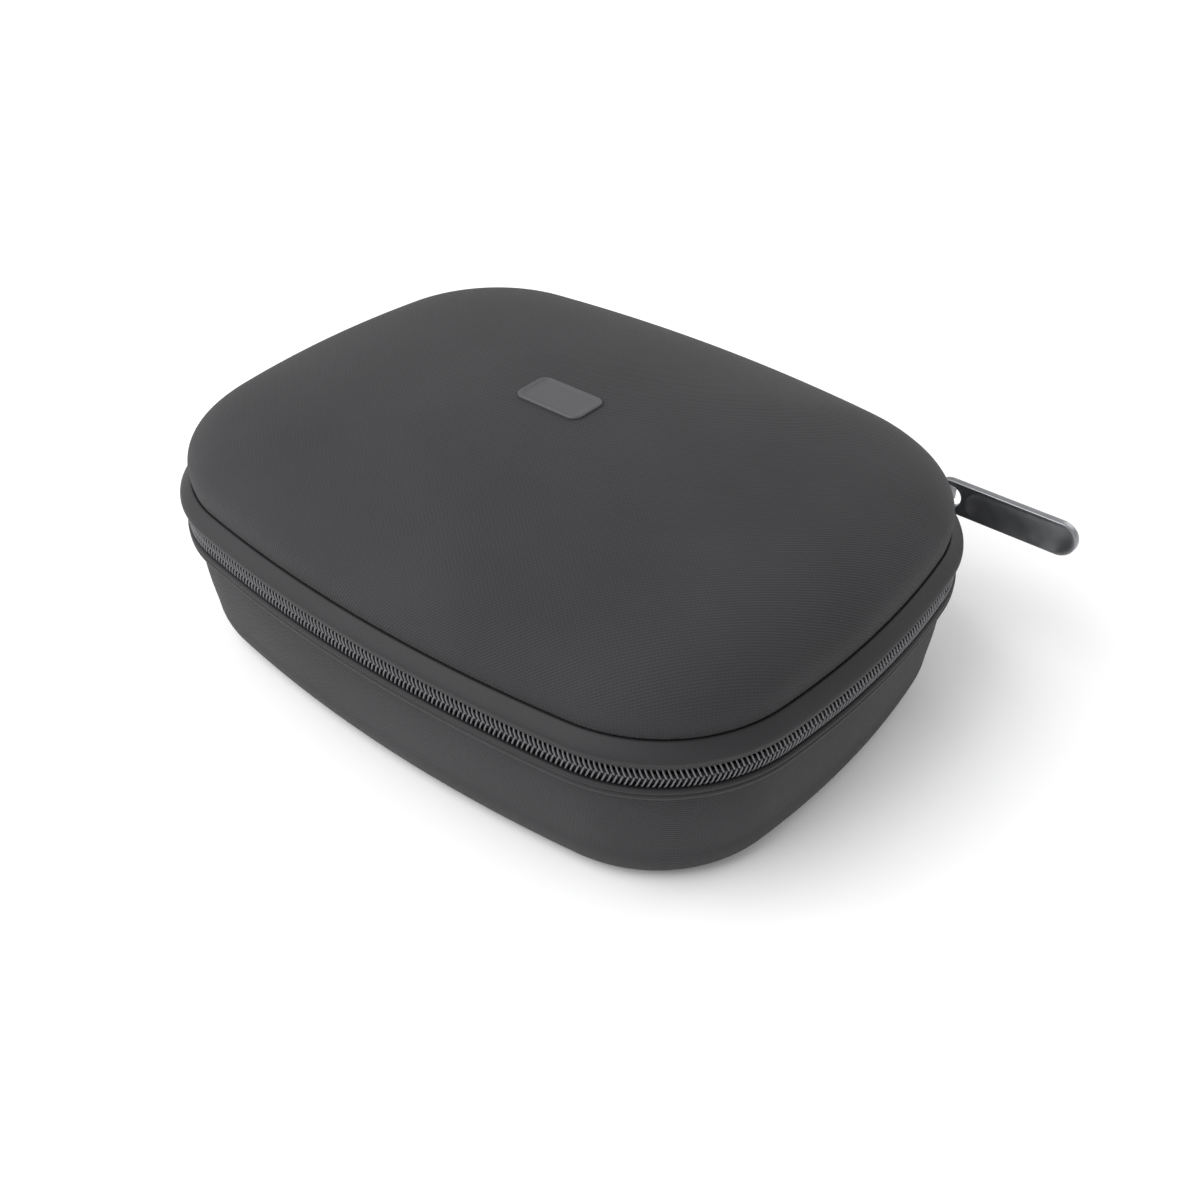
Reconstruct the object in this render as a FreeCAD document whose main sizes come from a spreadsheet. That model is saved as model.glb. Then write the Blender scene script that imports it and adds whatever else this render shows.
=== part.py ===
"""Zipped hard case for folding headphones: two moulded half shells, a fabric
hinge along the back, a coil zipper round the other three sides, and a slider
with a flat pull.

Frame: the origin is the middle of the base's resting face, +Z up, +X along the
long side, +Y towards the fabric hinge at the back.  Millimetres and degrees.
"""
import FreeCAD, Part
import math
import os
import re

import Sketcher

V = FreeCAD.Vector

# Every size that can be set by itself: alias, value, what it is.
SIZES = [
    ("corner_x", 58.0, "middle of a plan corner arc from the centre line, along X"),
    ("corner_y", 31.0, "middle of a plan corner arc from the centre line, along Y"),
    ("corner_radius", 45.0, "radius of the corner arcs at the widest line"),
    ("long_side_radius", 450.0, "bow of the long sides"),
    ("short_side_radius", 260.0, "bow of the short sides"),
    ("zip_height", 40.0, "middle of the zipper above the table"),
    ("dome_rise", 28.0, "height of the lid's dome over the crease"),
    ("dome_fullness", 0.61, "power of the dome profile: smaller is squarer"),
    ("crease_height", 9.6, "crease between dome and rim band over the zipper"),
    ("crease_inset", 4.2, "crease behind the widest line"),
    ("bulge_height", 5.6, "widest line of the rim band over the zipper"),
    ("band_edge_height", 3.2, "edge of each rim band beside the coil"),
    ("band_edge_inset", 1.2, "that edge behind the widest line"),
    ("tuck_height", 4.6, "end of the tucked strip that the slider runs over"),
    ("tuck_inset", 0.8, "that strip's end behind the widest line"),
    ("lip_swell_height", 5.4, "widest line of the lower lip under the zipper"),
    ("lip_swell_inset", 0.4, "that line behind the widest line"),
    ("lip_bottom_height", 6.8, "bottom of the lower lip under the zipper"),
    ("lip_bottom_inset", 1.5, "bottom of the lower lip behind the widest line"),
    ("wall_lap", 0.1, "top of the base wall in front of the tape's outer face"),
    ("wall_lean", 1.6, "how far the base wall leans in on its way down"),
    ("foot_width", 7.0, "width of the round bottom edge"),
    ("foot_height", 11.3, "height of the round bottom edge"),
    ("cover_thickness", 0.8, "outer fabric"),
    ("shell_thickness", 3.0, "moulded foam shell"),
    ("lining_thickness", 1.0, "inner fabric"),
    ("coil_inset", 0.9, "outer face of the coil"),
    ("coil_depth", 2.2, "coil from its outer face to the tape"),
    ("coil_half_gap", 0.6, "room for the slider's neck on each side of the middle"),
    ("coil_edge", 3.1, "far edge of each half coil from the middle"),
    ("tape_thickness", 0.8, "woven zipper tape"),
    ("tape_reach", 6.0, "far edge of each tape from the middle"),
    ("binding_height", 4.7, "near edge of each inner binding from the middle"),
    ("lid_binding_depth", 2.0, "lid's inner binding, measured inwards"),
    ("hinge_past", 2.0, "end of the fabric hinge past the corner arc's middle"),
    ("tape_past", 3.0, "end of the zipper tapes past the corner arc's middle"),
    ("coil_past", 7.0, "end of the coils past the corner arc's middle"),
    ("stop_past", 4.2, "near end of each metal stop past the corner arc's middle"),
    ("stop_length", 2.2, "metal stop along the tape"),
    ("hinge_cloth_inset", 1.4, "outer face of the hinge's outer cloth"),
    ("hinge_cloth_thickness", 1.0, "outer cloth of the hinge"),
    ("hinge_cloth_half", 3.0, "half height of the outer cloth"),
    ("hinge_lining_inset", 4.2, "outer face of the hinge's inner cloth"),
    ("hinge_lining_half", 4.4, "half height of the inner cloth"),
    ("slider_park", 70.0, "parked slider's direction from the corner's middle"),
    ("slider_angle", 14.0, "length of the slider as an angle at the corner"),
    ("slider_half_height", 4.2, "half height of the slider's plates"),
    ("slider_clearance", 0.5, "slider plate to coil"),
    ("tape_clearance", 0.3, "slider's inner plate to the tape"),
    ("slider_plate", 1.3, "outer plate of the slider"),
    ("slider_inner_plate", 1.0, "inner plate of the slider"),
    ("neck_half", 0.3, "half thickness of the slider's neck"),
    ("notch_angle", 23.0, "parking notch in the lid's edge, as an angle"),
    ("notch_lead", 10.0, "part of that angle towards the side of the case"),
    ("notch_height", 5.2, "top of the parking notch over the middle"),
    ("crown_half_width", 1.6, "half width of the slider's crown"),
    ("crown_length", 9.0, "crown along the zipper"),
    ("crown_post", 1.0, "each post of the crown"),
    ("crown_bar", 1.0, "bar of the crown"),
    ("crown_opening", 7.9, "room under the crown's bar"),
    ("pivot_standoff", 5.9, "pull's swing axis over the slider's plate"),
    ("pull_height", 10.5, "pull plate across"),
    ("pull_thickness", 2.4, "pull plate"),
    ("pull_length", 44.0, "pull from end to end"),
    ("eye_diameter", 7.0, "eye of the pull"),
    ("eye_offset", 4.4, "middle of the eye from the swing axis"),
    ("dish_border", 1.1, "raised border round the pull's dish"),
    ("dish_depth", 0.45, "depth of the dish"),
    ("dish_start", 9.5, "near end of the dish from the swing axis"),
    ("net_gap", 0.3, "edge of the net to the lining"),
    ("net_height", 1.4, "underside of the net over the crease"),
    ("net_thickness", 0.8, "net with its thread"),
    ("pocket_mouth", -14.0, "mouth of the net pocket, along Y"),
    ("elastic_width", 7.0, "elastic edge of the pocket"),
    ("elastic_thickness", 1.6, "elastic edge of the pocket"),
    ("badge_length", 22.0, "plain badge on the lid, along X"),
    ("badge_width", 13.0, "plain badge on the lid, along Y"),
    ("badge_thickness", 0.8, "plain badge on the lid"),
    ("badge_corner", 3.0, "corner radius of the badge"),
]

# Profile stations: angles on the dome and the round bottom edge, shares of the wall.
DOME_ANGLES = (0, 2, 5, 9, 14, 20, 28, 37, 47, 58, 69, 80)
FOOT_ANGLES = (90, 75, 60, 45, 30, 15, 0)
WALL_SHARES = (0.5, 1.0)
OVERSHOOT = 1.0

doc = FreeCAD.newDocument("headphone_case")
sheet = doc.addObject("Spreadsheet::Sheet", "Sizes")
for row, (alias, value, note) in enumerate(SIZES, start=1):
    sheet.set(f"A{row}", note)
    sheet.set(f"B{row}", str(value))
    sheet.setAlias(f"B{row}", alias)
doc.recompute()

sub_parts = []


def size(alias):
    """Read one driving dimension from the sheet."""
    return float(sheet.get(alias))


def cell(formula):
    """Write the sheet's name in front of every alias of a formula."""
    names = {alias for alias, _, _ in SIZES}
    return re.sub(r"[a-z_]+", lambda word: f"Sizes.{word[0]}" if word[0] in names else word[0],
                  formula)


def keep(item, name):
    """Name a finished sub-part and list it for export."""
    item.Label = name
    sub_parts.append(item)
    return item


# ---------------------------------------------------------------- outlines

def outline(name, inset, height, scale="1"):
    """Plan outline of the case as a sketch of eight tangent arcs.

    Four corner arcs are joined by four gently bowed sides.  The outline is
    moved in by `inset`, shrunk by `scale` and lifted to `height`; all three
    are formulas of sheet aliases.
    """
    sketch = doc.addObject("Sketcher::SketchObject", name)
    x, y, corner = size("corner_x"), size("corner_y"), size("corner_radius")
    long_side, short_side = size("long_side_radius"), size("short_side_radius")
    long_y = y - math.sqrt((long_side - corner) ** 2 - x ** 2)
    short_x = x - math.sqrt((short_side - corner) ** 2 - y ** 2)
    short_turn = math.atan2(y, x - short_x)
    long_turn = math.atan2(y - long_y, x)
    half = math.pi
    arcs = [
        (short_x, 0, short_side, -short_turn, short_turn),
        (x, y, corner, short_turn, long_turn),
        (0, long_y, long_side, long_turn, half - long_turn),
        (-x, y, corner, half - long_turn, half - short_turn),
        (-short_x, 0, short_side, half - short_turn, half + short_turn),
        (-x, -y, corner, half + short_turn, half + long_turn),
        (0, -long_y, long_side, half + long_turn, 2 * half - long_turn),
        (x, -y, corner, 2 * half - long_turn, 2 * half - short_turn),
    ]
    for centre_x, centre_y, radius, start, end in arcs:
        circle = Part.Circle(V(centre_x, centre_y, 0), V(0, 0, 1), radius)
        sketch.addGeometry(Part.ArcOfCircle(circle, start, end), False)
    for index in range(8):
        joint = Sketcher.Constraint("Tangent", index, 2, (index + 1) % 8, 1)
        sketch.addConstraint(joint)
    for index in (1, 3, 5, 7):
        centre_x, centre_y = arcs[index][:2]
        sign_x = "-" if centre_x < 0 else ""
        sign_y = "-" if centre_y < 0 else ""
        bind(sketch, Sketcher.Constraint("DistanceX", -1, 1, index, 3, centre_x),
             f"{sign_x}1 * corner_x * ({scale})")
        bind(sketch, Sketcher.Constraint("DistanceY", -1, 1, index, 3, centre_y),
             f"{sign_y}1 * corner_y * ({scale})")
        bind(sketch, Sketcher.Constraint("Radius", index, corner),
             f"(corner_radius - ({inset})) * ({scale})")
    for index, alias in ((0, "short_side_radius"), (2, "long_side_radius"),
                         (4, "short_side_radius"), (6, "long_side_radius")):
        bind(sketch, Sketcher.Constraint("Radius", index, arcs[index][2]),
             f"({alias} - ({inset})) * ({scale})")
    sketch.setExpression("Placement.Base.z", cell(height))
    return sketch


def bind(sketch, constraint, formula):
    """Add a dimension to a sketch and drive it from the sheet."""
    number = sketch.addConstraint(constraint)
    sketch.setExpression(f"Constraints[{number}]", cell(formula))


def value(formula):
    """Work a formula out now, to draw geometry where it will stay."""
    return float(sheet.evalExpression(cell(formula).replace("Sizes.", "")))


def loft(name, stations, ruled=False):
    """Solid through outlines given as (inset, height) or (inset, height, scale)."""
    solid = doc.addObject("Part::Loft", name)
    solid.Sections = [outline(f"{name}_{number}", *station)
                      for number, station in enumerate(stations)]
    solid.Solid = True
    solid.Ruled = ruled
    return solid


def cut(name, base, tool):
    """Boolean difference of two objects."""
    result = doc.addObject("Part::Cut", name)
    result.Base = base
    result.Tool = tool
    return result


def common(name, first, second):
    """Boolean intersection of two objects."""
    result = doc.addObject("Part::MultiCommon", name)
    result.Shapes = [first, second]
    return result


def ring(name, outer, inner):
    """Ring between two ruled lofts; the inner one runs past both faces."""
    first = (inner[0][0], f"{inner[0][1]} - {OVERSHOOT}")
    last = (inner[-1][0], f"{inner[-1][1]} + {OVERSHOOT}")
    return cut(name, loft(f"{name}_outer", outer, True),
               loft(f"{name}_inner", [first, *inner, last], True))


def straight_ring(name, outer_inset, inner_inset, low, high):
    """Ring with upright walls."""
    return ring(name, [(outer_inset, low), (outer_inset, high)],
                [(inner_inset, low), (inner_inset, high)])


def block(name, corner, lengths):
    """Box whose low corner and lengths are formulas of sheet aliases."""
    box = doc.addObject("Part::Box", name)
    for axis, formula in zip("xyz", corner):
        box.setExpression(f"Placement.Base.{axis}", cell(formula))
    for side, formula in zip(("Length", "Width", "Height"), lengths):
        box.setExpression(side, cell(formula))
    return box


# The back middle of the widest line, and the height of the tallest block.
BACK_Y = ("corner_y - sqrt( (long_side_radius - corner_radius) ^ 2 - corner_x ^ 2 )"
          " + long_side_radius")
SIDE_X = ("corner_x - sqrt( (short_side_radius - corner_radius) ^ 2 - corner_y ^ 2 )"
          " + short_side_radius")


def back_block(name, half_length, low, high):
    """Block round the middle of the back, reaching in past every ring."""
    return block(name, (f"-1 * ( {half_length} )", "corner_y", low),
                 (f"2 * ( {half_length} )", "2 * corner_radius", f"{high} - ( {low} )"))


# ---------------------------------------------------------------- half shells

TAPE_FACE = "coil_inset + coil_depth"
TAPE_BACK = f"{TAPE_FACE} + tape_thickness"
WALL_INSET = f"{TAPE_FACE} - wall_lap"


def dome(name, depth):
    """Closed dome of the lid, `depth` under the outer fabric's face."""
    stations = []
    for angle in DOME_ANGLES:
        inset = f"crease_inset + {depth}"
        height = (f"zip_height + crease_height + (dome_rise - ( {depth} ))"
                  f" * sin( {angle} ) ^ dome_fullness")
        stations.append((inset, height, f"cos( {angle} )"))
    return loft(name, stations, ruled=True)


def tub(name, depth):
    """Closed body of the base, `depth` under the outer fabric's face."""
    wall_top = "(zip_height - lip_bottom_height)"
    wall_foot = f"( {depth} + foot_height)"
    stations = []
    for angle in FOOT_ANGLES:
        inset = f"{WALL_INSET} + wall_lean + {depth} + foot_width * (1 - cos( {angle} ))"
        height = f"{depth} + foot_height * (1 - sin( {angle} ))"
        stations.append((inset, height))
    for share in WALL_SHARES:
        inset = f"{WALL_INSET} + {depth} + wall_lean * (1 - {share})"
        height = f"{wall_foot} + ({wall_top} - {wall_foot}) * {share}"
        stations.append((inset, height))
    return loft(name, stations, ruled=True)


def nested_shells(prefix, body, cover, shell, lining):
    """Cover, foam shell and lining between four bodies of growing depth."""
    depths = ["0", "cover_thickness", "cover_thickness + shell_thickness",
              "cover_thickness + shell_thickness + lining_thickness"]
    layers = [[body(f"{prefix}_{level}_{side}", depth) for side in ("fill", "void")]
              for level, depth in enumerate(depths)]
    for level, name in enumerate((cover, shell, lining)):
        keep(cut(f"{name}_cut", layers[level][0], layers[level + 1][1]), name)


nested_shells("dome", dome, "lid_cover", "lid_shell", "lid_lining")
nested_shells("tub", tub, "base_cover", "base_shell", "base_lining")

# ---------------------------------------------------------------- rims

WALL_DEPTH = "cover_thickness + shell_thickness + lining_thickness"


def parking_notch(name):
    """Slice at the parked slider, cut from the lid's band and half coil."""
    slice_ = doc.addObject("Part::Cylinder", name)
    slice_.setExpression("Radius", cell("2 * corner_radius"))
    slice_.setExpression("Height", cell("notch_height + coil_edge"))
    slice_.setExpression("Angle", cell("notch_angle"))
    slice_.setExpression("Placement.Base.x", cell("corner_x"))
    slice_.setExpression("Placement.Base.y", cell("corner_y"))
    slice_.setExpression("Placement.Base.z", cell("zip_height - coil_edge"))
    slice_.setExpression("Placement.Rotation.Angle", cell("slider_park - notch_lead"))
    return slice_


def lid_rim_band():
    """Flaring band that joins the dome to the upper zipper tape."""
    outer = [("band_edge_inset", "zip_height + band_edge_height"),
             ("tuck_inset", "zip_height + tuck_height"),
             ("0", "zip_height + bulge_height"),
             ("crease_inset", "zip_height + crease_height")]
    inner = [(TAPE_FACE, "zip_height + band_edge_height"),
             (TAPE_FACE, "zip_height + tape_reach"),
             (f"crease_inset + {WALL_DEPTH}", "zip_height + crease_height")]
    band = ring("lid_band_ring", outer, inner)
    keep(cut("lid_band_cut", band, parking_notch("band_notch")), "lid_rim_band")


def base_rim_band():
    """Narrow lip under the zipper."""
    outer = [("lip_bottom_inset", "zip_height - lip_bottom_height"),
             ("lip_swell_inset", "zip_height - lip_swell_height"),
             ("tuck_inset", "zip_height - tuck_height"),
             ("band_edge_inset", "zip_height - band_edge_height")]
    inner = [(TAPE_FACE, "zip_height - lip_bottom_height"),
             (TAPE_FACE, "zip_height - band_edge_height")]
    keep(ring("base_band_ring", outer, inner), "base_rim_band")


def zipper_strips():
    """Tapes and half coils, open along the hinge at the back."""
    halves = [("lower", "zip_height - lip_bottom_height", "zip_height - coil_half_gap",
               "zip_height - coil_edge", "zip_height - coil_half_gap"),
              ("upper", "zip_height + coil_half_gap", "zip_height + tape_reach",
               "zip_height + coil_half_gap", "zip_height + coil_edge")]
    for half, tape_low, tape_high, coil_low, coil_high in halves:
        tape = straight_ring(f"{half}_tape_ring", TAPE_FACE, TAPE_BACK, tape_low, tape_high)
        coil = straight_ring(f"{half}_coil_ring", "coil_inset", TAPE_FACE, coil_low, coil_high)
        for item, part, end in ((tape, "tape", "corner_x + tape_past"),
                                (coil, "coil", "corner_x + coil_past")):
            gap = back_block(f"{half}_{part}_gap", end, "0", "2 * zip_height")
            strip = cut(f"{half}_{part}_strip", item, gap)
            if (half, part) == ("upper", "coil"):
                strip = cut("upper_coil_notched", strip, parking_notch("coil_notch"))
            keep(strip, f"{half}_zip_{part}")


def inner_bindings():
    """Sewn tapes that cover the raw edges inside the two rims."""
    base_inner = f"{WALL_INSET} + {WALL_DEPTH}"
    keep(straight_ring("base_binding_ring", TAPE_BACK, base_inner,
                       "zip_height - lip_bottom_height", "zip_height - binding_height"),
         "base_inner_binding")
    keep(straight_ring("lid_binding_ring", TAPE_BACK, f"{TAPE_BACK} + lid_binding_depth",
                       "zip_height + binding_height", "zip_height + tape_reach"),
         "lid_inner_binding")


def hinge_cloths():
    """Two strips of cloth that carry the lid along the back."""
    strips = [("hinge_cloth", "hinge_cloth_inset", "hinge_cloth_thickness", "hinge_cloth_half"),
              ("hinge_lining", "hinge_lining_inset", "cover_thickness", "hinge_lining_half")]
    for name, face, thickness, half in strips:
        low, high = f"zip_height - {half}", f"zip_height + {half}"
        whole = straight_ring(f"{name}_ring", face, f"{face} + {thickness}", low, high)
        keep(common(f"{name}_strip", whole, back_block(f"{name}_block", "corner_x + hinge_past", low, high)),
             name)


def zip_stops():
    """Four small clamps at the ends of the half coils."""
    stop_y = ("corner_y - sqrt( (long_side_radius - corner_radius) ^ 2 - corner_x ^ 2 )"
              " + sqrt( long_side_radius ^ 2 - ( corner_x + stop_past ) ^ 2 )"
              f" - ( {TAPE_FACE} )")
    for half, low in (("upper", "zip_height + coil_half_gap"),
                      ("lower", "zip_height - coil_edge")):
        for side, start in (("right", "corner_x + stop_past"),
                            ("left", "-1 * ( corner_x + stop_past ) - stop_length")):
            keep(block(f"{half}_{side}_stop", (start, stop_y, low),
                       ("stop_length", "coil_depth - tape_clearance",
                        "coil_edge - coil_half_gap")),
                 f"{half}_stop_{side}")


lid_rim_band()
base_rim_band()
zipper_strips()
inner_bindings()
hinge_cloths()
zip_stops()

# ---------------------------------------------------------------- inside the lid

def net_panel(name, low, high, near, far):
    """Level panel inside the lid between two lines across the case."""
    inset = f"crease_inset + {WALL_DEPTH} + net_gap"
    sheet_solid = loft(f"{name}_sheet", [(inset, low), (inset, high)], True)
    area = block(f"{name}_area", (f"-1 * ( {SIDE_X} )", near, low),
                 (f"2 * ( {SIDE_X} )", f"( {far} ) - ( {near} )", f"{high} - ( {low} )"))
    return common(f"{name}_panel", sheet_solid, area)


def net_pocket():
    """Net pocket in the lid, with an elastic mouth."""
    floor = "zip_height + crease_height + net_height"
    keep(net_panel("net", floor, f"{floor} + net_thickness", "pocket_mouth", BACK_Y),
         "mesh_pocket")
    keep(net_panel("elastic", floor, f"{floor} + elastic_thickness",
                   "pocket_mouth - elastic_width", "pocket_mouth"),
         "pocket_elastic")


net_pocket()

# ---------------------------------------------------------------- bodies

def body(name, centre, turn):
    """PartDesign body at a place, turned about Z; all four are formulas."""
    result = doc.addObject("PartDesign::Body", name)
    for axis, formula in zip("xyz", centre):
        result.setExpression(f"Placement.Base.{axis}", cell(formula))
    result.setExpression("Placement.Rotation.Angle", cell(turn))
    return result


def body_sketch(owner, name, role, lift="0"):
    """Sketch on one of the body's own origin planes, lifted along its normal."""
    sketch = owner.newObject("Sketcher::SketchObject", name)
    plane = [item for item in owner.Origin.OriginFeatures if item.Role == role][0]
    sketch.AttachmentSupport = [(plane, "")]
    sketch.MapMode = "FlatFace"
    sketch.setExpression("AttachmentOffset.Base.z", cell(lift))
    return sketch


def rectangle(sketch, low_x, high_x, low_y, high_y):
    """Rectangle with its four sides driven from the sheet."""
    first = sketch.GeometryCount
    west, east, south, north = [value(side) for side in (low_x, high_x, low_y, high_y)]
    corners = [(west, south), (east, south), (east, north), (west, north)]
    for index in range(4):
        start, end = corners[index], corners[(index + 1) % 4]
        sketch.addGeometry(Part.LineSegment(V(*start, 0), V(*end, 0)), False)
    for index in range(4):
        sketch.addConstraint(Sketcher.Constraint("Coincident", first + index, 2,
                                                 first + (index + 1) % 4, 1))
    for index, way in enumerate(("Horizontal", "Vertical", "Horizontal", "Vertical")):
        sketch.addConstraint(Sketcher.Constraint(way, first + index))
    bind(sketch, Sketcher.Constraint("DistanceX", -1, 1, first, 1, west), low_x)
    bind(sketch, Sketcher.Constraint("DistanceX", -1, 1, first + 1, 1, east), high_x)
    bind(sketch, Sketcher.Constraint("DistanceY", -1, 1, first, 1, south), low_y)
    bind(sketch, Sketcher.Constraint("DistanceY", -1, 1, first + 2, 1, north), high_y)


def slot(sketch, near, far, radius):
    """Slot along the sketch's X axis: two half circles and two straight sides."""
    left, right, half = value(near), value(far), value(radius)
    upright = V(0, 0, 1)
    quarter = math.pi / 2
    near_end = Part.Circle(V(left, 0, 0), upright, half)
    far_end = Part.Circle(V(right, 0, 0), upright, half)
    sketch.addGeometry(Part.ArcOfCircle(near_end, quarter, 3 * quarter), False)
    sketch.addGeometry(Part.ArcOfCircle(far_end, -quarter, quarter), False)
    sketch.addGeometry(Part.LineSegment(V(left, -half, 0), V(right, -half, 0)), False)
    sketch.addGeometry(Part.LineSegment(V(right, half, 0), V(left, half, 0)), False)
    for first, second in ((0, 2), (2, 1), (1, 3), (3, 0)):
        sketch.addConstraint(Sketcher.Constraint("Tangent", first, 2, second, 1))
    sketch.addConstraint(Sketcher.Constraint("PointOnObject", 0, 3, -1))
    sketch.addConstraint(Sketcher.Constraint("PointOnObject", 1, 3, -1))
    bind(sketch, Sketcher.Constraint("DistanceX", -1, 1, 0, 3, left), near)
    bind(sketch, Sketcher.Constraint("DistanceX", -1, 1, 1, 3, right), far)
    bind(sketch, Sketcher.Constraint("Radius", 1, half), radius)


def pad(owner, name, sketch, length, midplane):
    """Pad of a sketch with its length driven from the sheet."""
    feature = owner.newObject("PartDesign::Pad", name)
    feature.Profile = sketch
    feature.Midplane = midplane
    feature.setExpression("Length", cell(length))
    return feature


def pocket(owner, name, sketch, length, midplane):
    """Pocket of a sketch with its depth driven from the sheet."""
    feature = owner.newObject("PartDesign::Pocket", name)
    feature.Profile = sketch
    feature.Midplane = midplane
    feature.setExpression("Length", cell(length))
    return feature


def revolve(owner, name, bounds):
    """Arc-shaped bar: a rectangle turned about the body's Z axis."""
    sketch = body_sketch(owner, f"{name}_profile", "XZ_Plane")
    rectangle(sketch, *bounds)
    feature = owner.newObject("PartDesign::Revolution", name)
    feature.Profile = sketch
    feature.ReferenceAxis = (sketch, ["V_Axis"])
    feature.Midplane = True
    feature.setExpression("Angle", cell("slider_angle"))
    return feature


def slider():
    """Slider round the zipper: two curved plates, the neck and the crown."""
    owner = body("slider", ("corner_x", "corner_y", "zip_height"), "slider_park")
    inner_face = f"corner_radius - ( {TAPE_BACK} ) - tape_clearance"
    outer_face = "corner_radius - coil_inset + slider_clearance"
    low, high = "-1 * slider_half_height", "slider_half_height"
    revolve(owner, "outer_plate", (outer_face, f"{outer_face} + slider_plate", low, high))
    revolve(owner, "inner_plate", (f"{inner_face} - slider_inner_plate", inner_face, low, high))
    revolve(owner, "neck", (f"{inner_face} - slider_inner_plate / 2",
                            f"{outer_face} + slider_plate / 2", "-1 * neck_half", "neck_half"))
    foot = f"{outer_face} + slider_plate / 2"
    top = f"{outer_face} + slider_plate + crown_opening"
    arch = body_sketch(owner, "crown_profile", "XY_Plane")
    rectangle(arch, foot, f"{top} + crown_bar", "-1 * crown_length / 2", "crown_length / 2")
    rectangle(arch, f"{outer_face} + slider_plate", top,
              "-1 * crown_length / 2 + crown_post", "crown_length / 2 - crown_post")
    pad(owner, "crown", arch, "2 * crown_half_width", True)
    keep(owner, "slider_body")


def zip_pull():
    """Flat pull plate with an eye and a plain dished face."""
    reach = "( corner_radius - coil_inset + slider_clearance + slider_plate + pivot_standoff )"
    owner = body("pull", (f"corner_x + {reach} * cos( slider_park )",
                          f"corner_y + {reach} * sin( slider_park )", "zip_height"), "0")
    tip = "eye_offset - pull_height + pull_length"
    plate = body_sketch(owner, "plate_profile", "XZ_Plane")
    slot(plate, "eye_offset", tip, "pull_height / 2")
    pad(owner, "plate", plate, "pull_thickness", True)
    eye = body_sketch(owner, "eye_profile", "XZ_Plane")
    centre, diameter = value("eye_offset"), value("eye_diameter")
    eye.addGeometry(Part.Circle(V(centre, 0, 0), V(0, 0, 1), diameter / 2), False)
    eye.addConstraint(Sketcher.Constraint("PointOnObject", 0, 3, -1))
    bind(eye, Sketcher.Constraint("DistanceX", -1, 1, 0, 3, centre), "eye_offset")
    bind(eye, Sketcher.Constraint("Diameter", 0, diameter), "eye_diameter")
    pocket(owner, "eye", eye, "2 * pull_thickness", True)
    dish = body_sketch(owner, "dish_profile", "XZ_Plane", "pull_thickness / 2")
    radius = "( pull_height / 2 - dish_border )"
    slot(dish, f"dish_start + {radius}", tip, radius)
    pocket(owner, "dish", dish, "dish_depth", False)
    keep(owner, "zip_pull")


def lid_badge():
    """Plain rounded badge on the flat crown of the lid."""
    owner = body("badge", ("0", "0", "zip_height + crease_height + dome_rise"
                           f" * sin( {DOME_ANGLES[-1]} ) ^ dome_fullness"), "0")
    face = body_sketch(owner, "badge_profile", "XY_Plane")
    rectangle(face, "-1 * badge_length / 2", "badge_length / 2",
              "-1 * badge_width / 2", "badge_width / 2")
    plate = pad(owner, "badge_plate", face, "badge_thickness", False)
    doc.recompute()
    upright = [f"Edge{number}" for number, edge in enumerate(plate.Shape.Edges, start=1)
               if abs(edge.tangentAt(edge.FirstParameter).z) > 0.99]
    rounding = owner.newObject("PartDesign::Fillet", "badge_corners")
    rounding.Base = (plate, upright)
    rounding.setExpression("Radius", cell("badge_corner"))
    keep(owner, "lid_badge")


slider()
zip_pull()
lid_badge()

# ---------------------------------------------------------------- export

doc.recompute()
failed = [item.Label for item in doc.Objects
          if "Invalid" in item.State or "Error" in item.State]
failed += [item.Label for item in sub_parts
           if item.Shape.isNull() or not item.Shape.isValid()]
if failed:
    raise RuntimeError(f"failed objects: {failed}")
os.makedirs("parts", exist_ok=True)
for item in sub_parts:
    item.Shape.exportStep(f"parts/{item.Label}.step")
    box = item.Shape.BoundBox
    print(f"{item.Label:20s} {item.Shape.Volume / 1000:9.3f} cm3 "
          f"{len(item.Shape.Solids)} solids  x {box.XMin:.1f}..{box.XMax:.1f} "
          f"y {box.YMin:.1f}..{box.YMax:.1f} z {box.ZMin:.1f}..{box.ZMax:.1f}")
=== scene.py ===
import math

import bmesh
import bpy
import numpy as np
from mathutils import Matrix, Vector


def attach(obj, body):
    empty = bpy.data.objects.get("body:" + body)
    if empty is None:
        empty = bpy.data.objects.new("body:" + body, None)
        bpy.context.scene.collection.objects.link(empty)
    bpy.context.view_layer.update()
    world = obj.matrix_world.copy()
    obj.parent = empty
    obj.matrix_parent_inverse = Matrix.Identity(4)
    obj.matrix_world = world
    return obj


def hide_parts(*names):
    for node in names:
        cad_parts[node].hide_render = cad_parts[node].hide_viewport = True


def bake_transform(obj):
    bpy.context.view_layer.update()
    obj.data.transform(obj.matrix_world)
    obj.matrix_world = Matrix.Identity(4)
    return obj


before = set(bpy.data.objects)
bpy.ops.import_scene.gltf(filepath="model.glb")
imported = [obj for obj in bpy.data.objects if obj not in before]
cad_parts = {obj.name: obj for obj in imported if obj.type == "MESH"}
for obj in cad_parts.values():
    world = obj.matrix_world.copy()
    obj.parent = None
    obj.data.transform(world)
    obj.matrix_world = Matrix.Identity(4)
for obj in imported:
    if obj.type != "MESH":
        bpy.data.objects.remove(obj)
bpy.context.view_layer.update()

MM = 0.001

# ---------------------------------------------------------------- studio
# A pale seamless table under one broad soft light from the upper left, a weak fill from
# the right, a small light from behind and an even white surround.  The camera looks down
# over the front right corner.

CAMERA_AZIMUTH = math.radians(39.703)
CAMERA_ELEVATION = math.radians(38.122)
CAMERA_DISTANCE = 0.35847
CAMERA_TARGET = Vector((0.033476, -0.023490, 0.040))
CAMERA_LENS = 41.14
TABLE_SIDE = 8.0
TABLE_DROP = 0.0002


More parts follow.
